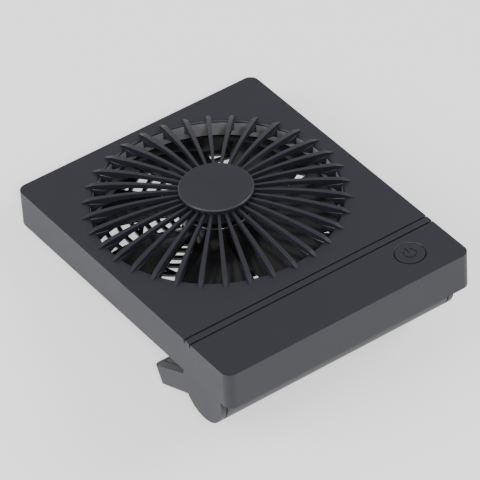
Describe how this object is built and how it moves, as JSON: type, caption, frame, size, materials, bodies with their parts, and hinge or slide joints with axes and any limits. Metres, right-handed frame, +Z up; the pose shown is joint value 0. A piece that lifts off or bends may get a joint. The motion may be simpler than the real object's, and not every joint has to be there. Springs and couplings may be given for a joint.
{
  "type": "desk fan",
  "caption": "Slim folding battery desk fan: flat square body, domed radial-rib grille, axial impeller, barrel hinge and thick fold-out stand.",
  "frame": {"origin": "middle of the fan's footprint, on the surface it lies on", "axes": "+X to the fan's right across its face, +Y along the surface from the barrel end towards the fan's top edge, +Z up; the fan lies face up, tilted 13.8 degrees by its part-opened stand"},
  "size_m": [0.12, 0.149, 0.0522],
  "materials": {
    "black_plastic": "fine matt texture, moulded",
    "dark_plastic": "satin black, moulded",
    "steel": "plain zinc or nickel plated steel",
    "brass": "turned",
    "copper": "enamelled copper wire, wound",
    "board_green": "glass-fibre board with solder mask",
    "chip_black": "moulded epoxy",
    "wire_red": "PVC insulated wire",
    "wire_black": "PVC insulated wire",
    "cell_wrap": "shrink sleeve over the steel cell",
    "foam": "closed-cell foam",
    "magnet_grey": "bonded ferrite"
  },
  "bodies": {
    "case": {"barrel_plug_left": "dark_plastic", "barrel_plug_right": "dark_plastic", "battery_barrel": "black_plastic", "battery_cell": "cell_wrap", "bearing_tube": "brass", "board_screw_1": "steel", "board_screw_2": "steel", "boost_inductor": "chip_black", "case_screw_1": "steel", "case_screw_2": "steel", "case_screw_3": "steel", "case_screw_4": "steel", "cell_pad_left": "foam", "cell_pad_right": "foam", "cell_wire_black": "wire_black", "cell_wire_red": "wire_red", "charger_chip": "chip_black", "control_board": "board_green", "fan_housing": "dark_plastic", "friction_washer_left": "steel", "friction_washer_right": "steel", "front_cover": "black_plastic", "hub_cap": "black_plastic", "motor_board": "board_green", "motor_driver_chip": "chip_black", "motor_wire_black": "wire_black", "motor_wire_red": "wire_red", "rear_cover": "black_plastic", "sleeve_bearing": "brass", "stator_coil_1": "copper", "stator_coil_2": "copper", "stator_coil_3": "copper", "stator_coil_4": "copper", "stator_core": "steel", "switch_body": "chip_black", "usb_socket": "steel", "usb_tongue": "chip_black"},
    "impeller": {"impeller": "dark_plastic", "rotor_yoke": "steel", "magnet_ring": "magnet_grey", "rotor_shaft": "steel", "shaft_clip": "steel"},
    "power_button": {"button_cap": "black_plastic", "switch_plunger": "chip_black"},
    "stand": {"stand": "black_plastic", "stand_cover": "black_plastic", "stand_screw_1": "steel", "stand_screw_2": "steel", "stand_screw_3": "steel", "stand_screw_4": "steel", "hinge_pin_left": "steel", "hinge_pin_right": "steel"}
  },
  "joints": [
    {"name": "impeller_spin", "type": "hinge", "parent": "case", "child": "impeller", "pos_m": [0, 0.01803, 0.03058], "axis": [0, 0.2383, 0.9712], "continuous": true},
    {"name": "power_button_press", "type": "slide", "parent": "case", "child": "power_button", "axis": [0, -0.2383, -0.9712], "range_m": [0, 0.0005], "stiffness_N_per_m": 800, "springref_m": -0.0015},
    {"name": "stand_fold", "type": "hinge", "parent": "case", "child": "stand", "pos_m": [0, -0.05495, 0.02315], "axis": [-1, 0, 0], "range_deg": [-26, 154]}
  ]
}
